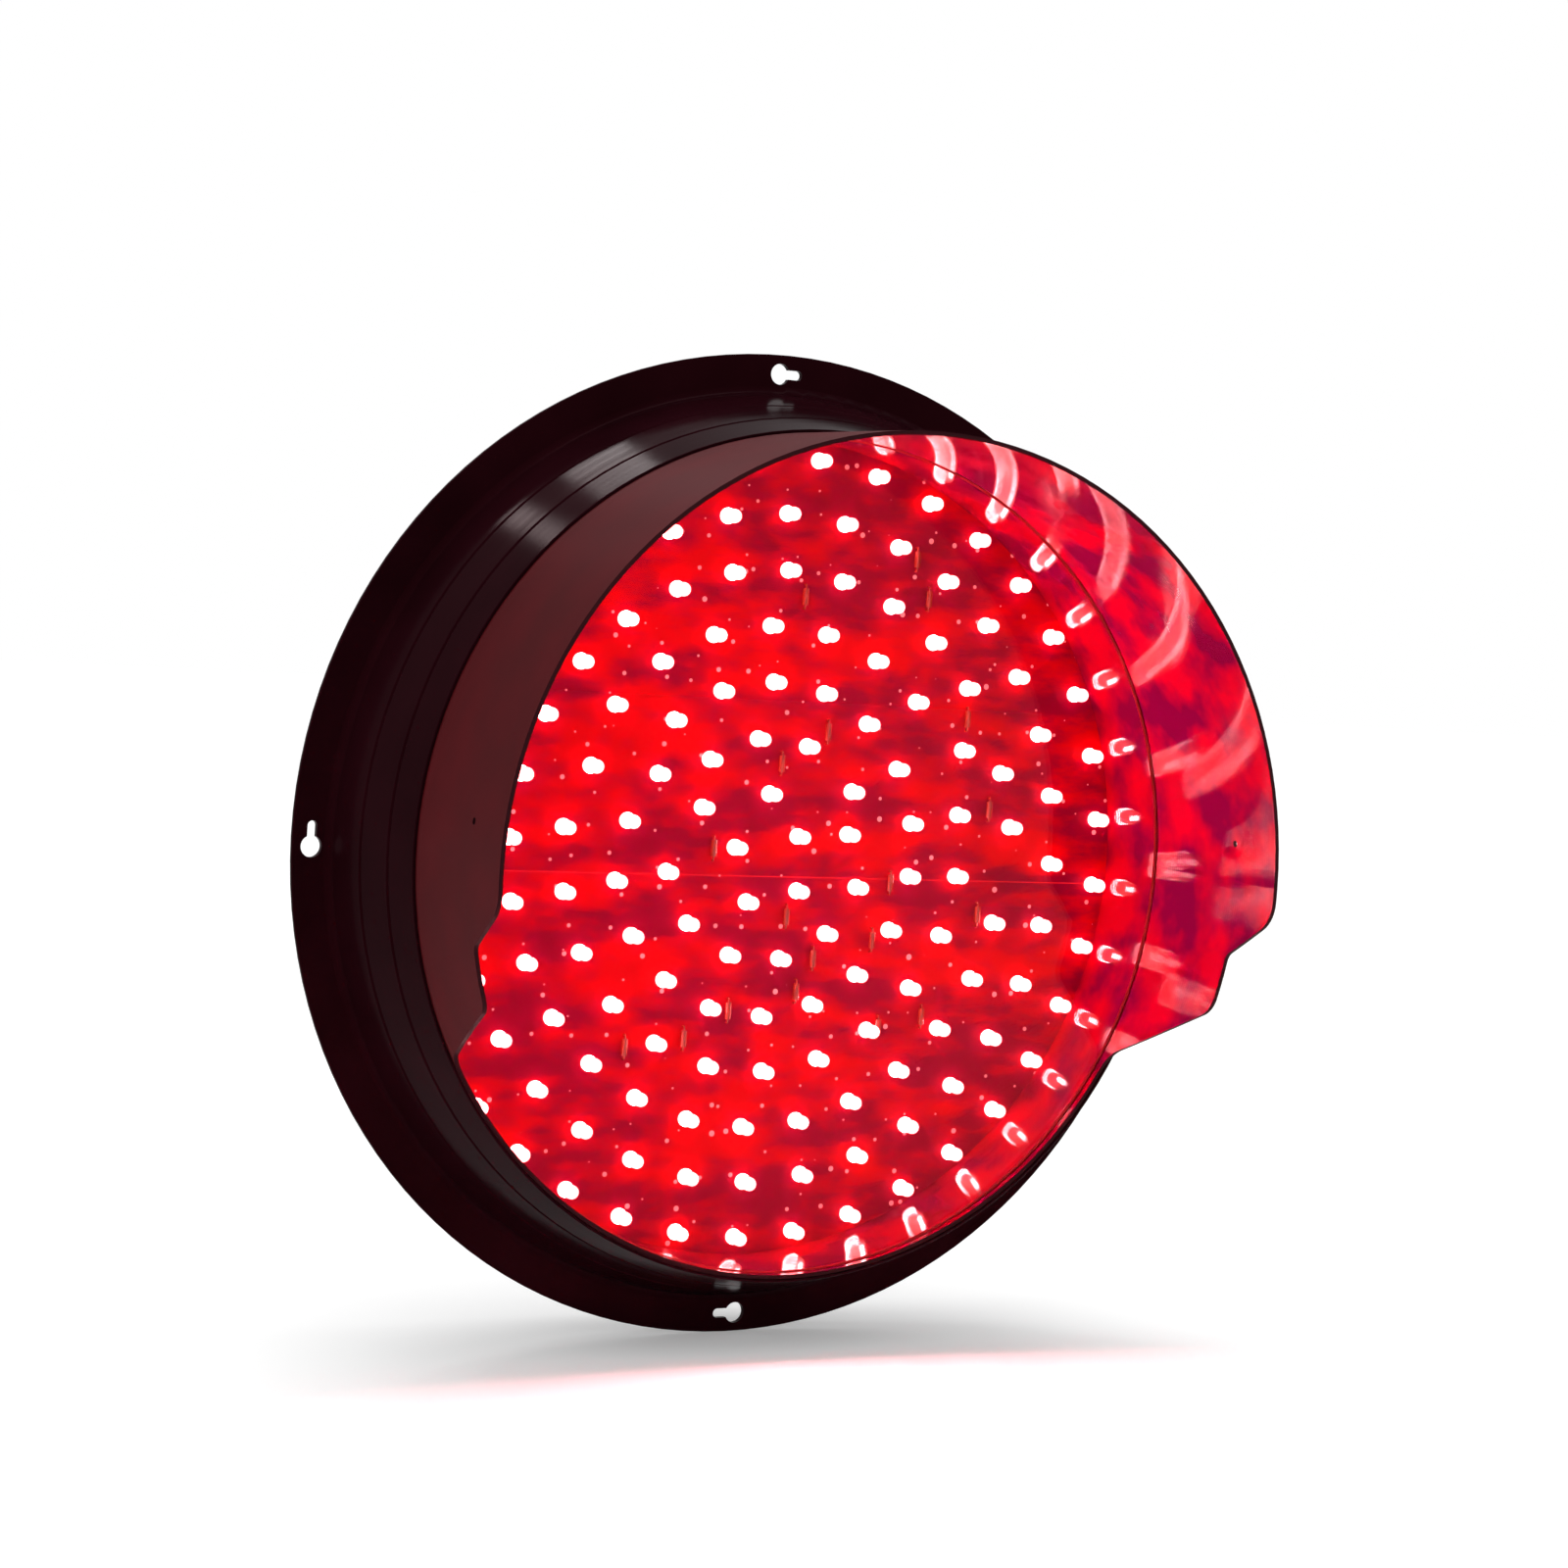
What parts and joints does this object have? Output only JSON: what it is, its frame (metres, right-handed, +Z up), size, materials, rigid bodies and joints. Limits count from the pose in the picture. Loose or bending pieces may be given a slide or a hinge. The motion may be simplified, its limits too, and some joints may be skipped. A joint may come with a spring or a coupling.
{
  "type": "traffic signal head",
  "caption": "Round red signal head: flanged conical housing on keyholes, board of bright diodes behind a clear lens, cut away hood, and a rear cover with a cable gland.",
  "frame": {"origin": "centre of the flange's rear face, which is the centre of the keyhole circle, where the head lies on its panel", "axes": "+Z up, +Y to the rear into the panel, the lamp shines along -Y, +X right as seen from the front"},
  "size_m": [0.36, 0.1721, 0.36],
  "materials": {
    "housing": "moulded polycarbonate, high gloss",
    "hood": "vacuum formed sheet, matte outside and glossy inside",
    "lens": "clear moulded polycarbonate, polished",
    "board": "solder resist on laminate",
    "reflector": "formed sheet, polished inside",
    "led": "cast epoxy, lit",
    "resistor": "dipped lacquer",
    "screw": "bright zinc plated",
    "cover": "moulded, fine eroded texture",
    "rubber": "moulded rubber",
    "driver": "bead blasted and clear anodised",
    "terminal": "moulded polyamide",
    "terminal_screw": "nickel plated brass",
    "wire": "extruded sleeve",
    "gland": "moulded polyamide"
  },
  "bodies": {
    "head": {"housing": "housing", "lens": "lens", "lens_gasket": "rubber", "hood": "hood", "led_board": "board", "reflector": "reflector", "led_ring_1": "led", "led_ring_2": "led", "led_ring_3": "led", "led_ring_4": "led", "led_ring_5": "led", "led_ring_6": "led", "led_ring_7": "led", "led_strays": "led", "resistors": "resistor", "board_screws": "screw", "rear_cover": "cover", "cover_gasket": "rubber", "cover_screws": "screw", "driver_case": "driver", "driver_lid": "driver", "driver_screws": "screw", "terminal_block": "terminal", "terminal_screws": "terminal_screw", "driver_leads": "wire", "board_leads": "wire", "gland_body": "gland", "gland_washer": "rubber", "gland_locknut": "gland", "gland_seal": "rubber", "breather_plug": "gland"},
    "slip_ring": {"gland_slip_ring": "gland"},
    "nut": {"gland_nut": "gland"}
  },
  "joints": [
    {"name": "nut_travel", "type": "slide", "parent": "head", "child": "slip_ring", "axis": [0, 1, 0], "range_m": [0, 0.0045]},
    {"name": "nut_turn", "type": "hinge", "parent": "slip_ring", "child": "nut", "pos_m": [0, 0.0498, -0.121], "axis": [0, 1, 0], "range_deg": [0, 1080]}
  ],
  "couplings": [
    {"joint": "nut_travel", "follows": "nut_turn", "m_per_rad": 0.00023873}
  ]
}
